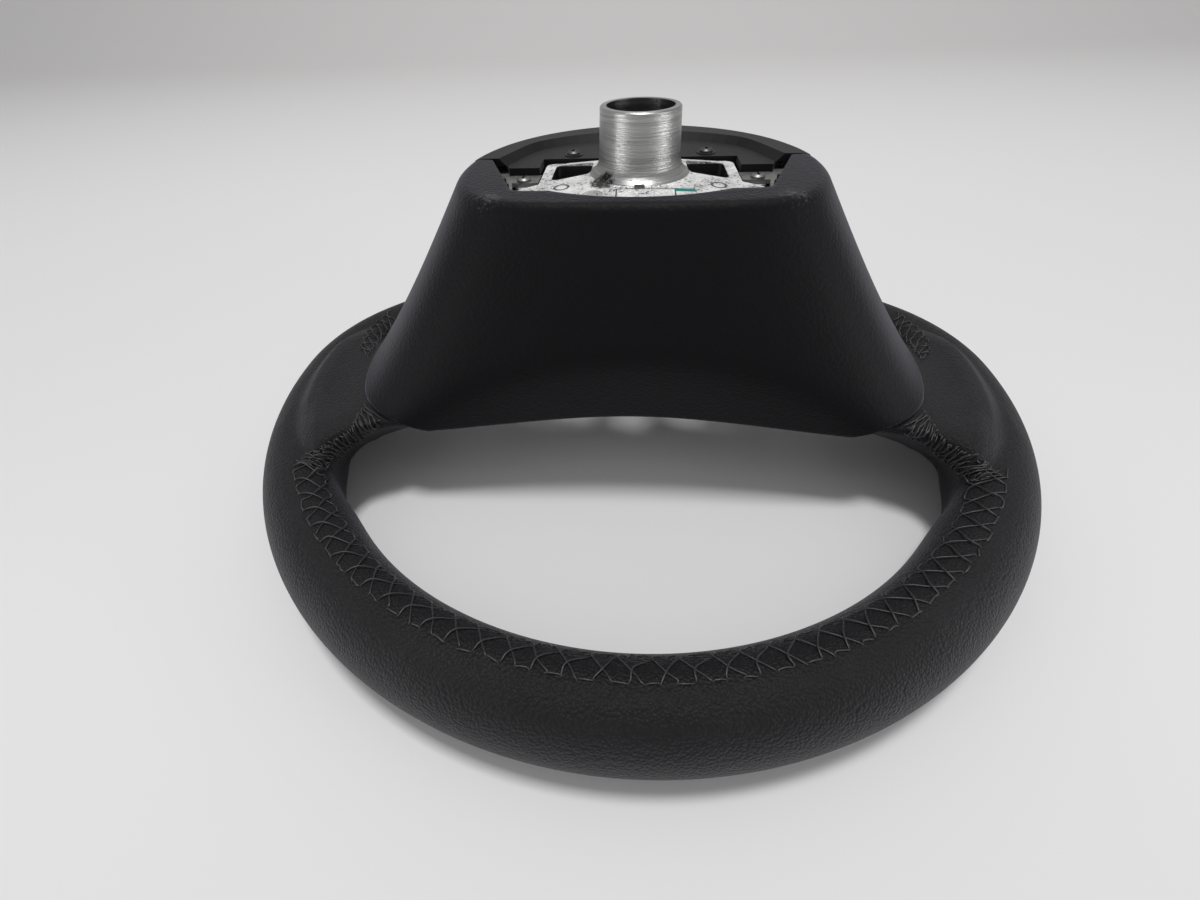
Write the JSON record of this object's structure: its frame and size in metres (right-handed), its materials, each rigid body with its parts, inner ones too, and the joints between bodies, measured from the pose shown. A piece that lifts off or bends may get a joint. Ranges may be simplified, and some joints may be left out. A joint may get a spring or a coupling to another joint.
{
  "type": "car steering wheel",
  "caption": "Leather-covered car steering wheel with a flattened bottom, seen bare: cast frame with hub tube, foam rim, laced seam and two rear covers, without its centre pad.",
  "frame": {"origin": "centre of the hub tube's mouth, where the column bore opens towards the column", "axes": "+Z along the hub axis towards the column, +X across the wheel, twelve o'clock at -Y"},
  "size_m": [0.38, 0.3284, 0.155],
  "materials": {
    "cast_metal": "rough as cast",
    "bush_steel": "machined",
    "foam": "matt skin",
    "leather": "fine satin grain",
    "thread": "waxed twisted thread",
    "cover_black": "soft fine grain",
    "cover_grey": "fine grain",
    "bracket_steel": "dull",
    "dark_screw": "dark plated",
    "dark_washer": "dark plated",
    "bright_screw": "zinc plated"
  },
  "bodies": {
    "root": {"armature": "cast_metal", "splined_bush": "bush_steel", "rim_foam": "foam", "rim_leather": "leather", "seam_lacing": "thread", "upper_rear_cover": "cover_black", "lower_rear_cover": "cover_grey", "left_bracket": "bracket_steel", "right_bracket": "bracket_steel", "ledge_screws": "dark_screw", "ledge_washers": "dark_washer", "bracket_screws": "bright_screw"}
  },
  "joints": []
}
